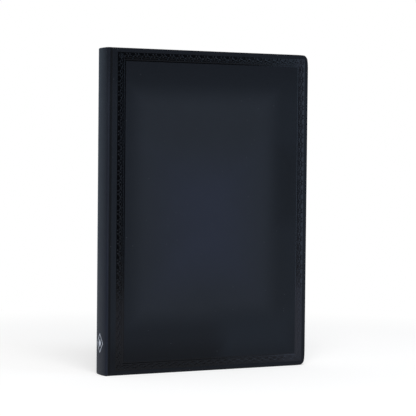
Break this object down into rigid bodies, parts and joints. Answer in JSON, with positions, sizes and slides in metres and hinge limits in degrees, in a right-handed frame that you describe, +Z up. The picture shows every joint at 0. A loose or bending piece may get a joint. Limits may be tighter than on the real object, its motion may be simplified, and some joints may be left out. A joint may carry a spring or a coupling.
{
  "type": "softcover journal",
  "caption": "A5 journal in flexible dark imitation-leather covers with a debossed border, sewn paper block and flat-opening spine; covers, endleaves and middle leaves turn.",
  "frame": {"origin": "middle of the bottom of the closed journal's box, standing on its tail: under the middle of the width, half way through the thickness, at the height of the tail edges of the covers", "axes": "+Z up the journal's height, from tail to head; +X from the spine to the fore-edge; -Y is the way the front cover faces"},
  "size_m": [0.148, 0.016, 0.21],
  "materials": {
    "cover_leather": "matte",
    "cover_board": "matte",
    "endpaper": "matte",
    "page_paper": "matte",
    "kraft_liner": "matte",
    "mull_gauze": "matte",
    "spine_glue": "satin",
    "sewing_thread": "matte",
    "end_band": "satin"
  },
  "bodies": {
    "back_block": {"back_spine_skin": "cover_leather", "back_spine_inlay": "cover_board", "back_spine_liner": "kraft_liner", "back_spine_mull": "mull_gauze", "back_spine_glue": "spine_glue", "back_head_band": "end_band", "back_tail_band": "end_band", "back_stitches_1": "sewing_thread", "back_stitches_2": "sewing_thread", "back_stitches_3": "sewing_thread", "back_stitches_4": "sewing_thread", "back_stitches_5": "sewing_thread", "back_stitches_6": "sewing_thread", "signature_7": "page_paper", "signature_8": "page_paper", "signature_9": "page_paper", "signature_10": "page_paper", "signature_11": "page_paper", "signature_12": "page_paper"},
    "front_block": {"front_spine_skin": "cover_leather", "front_spine_inlay": "cover_board", "front_spine_liner": "kraft_liner", "front_spine_mull": "mull_gauze", "front_spine_glue": "spine_glue", "front_head_band": "end_band", "front_tail_band": "end_band", "front_stitches_1": "sewing_thread", "front_stitches_2": "sewing_thread", "front_stitches_3": "sewing_thread", "front_stitches_4": "sewing_thread", "front_stitches_5": "sewing_thread", "front_stitches_6": "sewing_thread", "signature_1": "page_paper", "signature_2": "page_paper", "signature_3": "page_paper", "signature_4": "page_paper", "signature_5": "page_paper", "signature_6": "page_paper"},
    "front_cover": {"front_cover_skin": "cover_leather", "front_cover_board": "cover_board", "front_pastedown": "endpaper"},
    "back_cover": {"back_cover_skin": "cover_leather", "back_cover_board": "cover_board", "back_pastedown": "endpaper"},
    "front_endleaf": {"front_flyleaf": "endpaper"},
    "back_endleaf": {"back_flyleaf": "endpaper"},
    "front_leaf_1": {"front_middle_leaf_1": "page_paper"},
    "front_leaf_2": {"front_middle_leaf_2": "page_paper"},
    "back_leaf_1": {"back_middle_leaf_1": "page_paper"},
    "back_leaf_2": {"back_middle_leaf_2": "page_paper"}
  },
  "joints": [
    {"name": "block_open", "type": "hinge", "parent": "back_block", "child": "front_block", "pos_m": [-0.0742, 0, 0.105], "axis": [0, 0, 1], "range_deg": [-180, 0]},
    {"name": "front_cover_open", "type": "hinge", "parent": "front_block", "child": "front_cover", "pos_m": [-0.0728, -0.00815, 0.105], "axis": [0, 0, 1], "range_deg": [-180, 0]},
    {"name": "back_cover_open", "type": "hinge", "parent": "back_block", "child": "back_cover", "pos_m": [-0.0728, 0.00815, 0.105], "axis": [0, 0, 1], "range_deg": [0, 180]},
    {"name": "front_endleaf_turn", "type": "hinge", "parent": "front_block", "child": "front_endleaf", "pos_m": [-0.0728, -0.00815, 0.105], "axis": [0, 0, 1], "range_deg": [-180, 0]},
    {"name": "back_endleaf_turn", "type": "hinge", "parent": "back_block", "child": "back_endleaf", "pos_m": [-0.0728, 0.00815, 0.105], "axis": [0, 0, 1], "range_deg": [0, 180]},
    {"name": "front_leaf_1_turn", "type": "hinge", "parent": "front_block", "child": "front_leaf_1", "pos_m": [-0.0742, 0, 0.105], "axis": [0, 0, 1], "range_deg": [0, 180]},
    {"name": "front_leaf_2_turn", "type": "hinge", "parent": "front_block", "child": "front_leaf_2", "pos_m": [-0.0742, 0, 0.105], "axis": [0, 0, 1], "range_deg": [0, 180]},
    {"name": "back_leaf_1_turn", "type": "hinge", "parent": "back_block", "child": "back_leaf_1", "pos_m": [-0.0742, 0, 0.105], "axis": [0, 0, 1], "range_deg": [-180, 0]},
    {"name": "back_leaf_2_turn", "type": "hinge", "parent": "back_block", "child": "back_leaf_2", "pos_m": [-0.0742, 0, 0.105], "axis": [0, 0, 1], "range_deg": [-180, 0]}
  ],
  "couplings": [
    {"joint": "front_endleaf_turn", "follows": "front_cover_open", "ratio": 0.5},
    {"joint": "back_endleaf_turn", "follows": "back_cover_open", "ratio": 0.5},
    {"joint": "front_leaf_1_turn", "follows": "block_open", "ratio": -0.4},
    {"joint": "front_leaf_2_turn", "follows": "block_open", "ratio": -0.2},
    {"joint": "back_leaf_1_turn", "follows": "block_open", "ratio": 0.4},
    {"joint": "back_leaf_2_turn", "follows": "block_open", "ratio": 0.2}
  ]
}
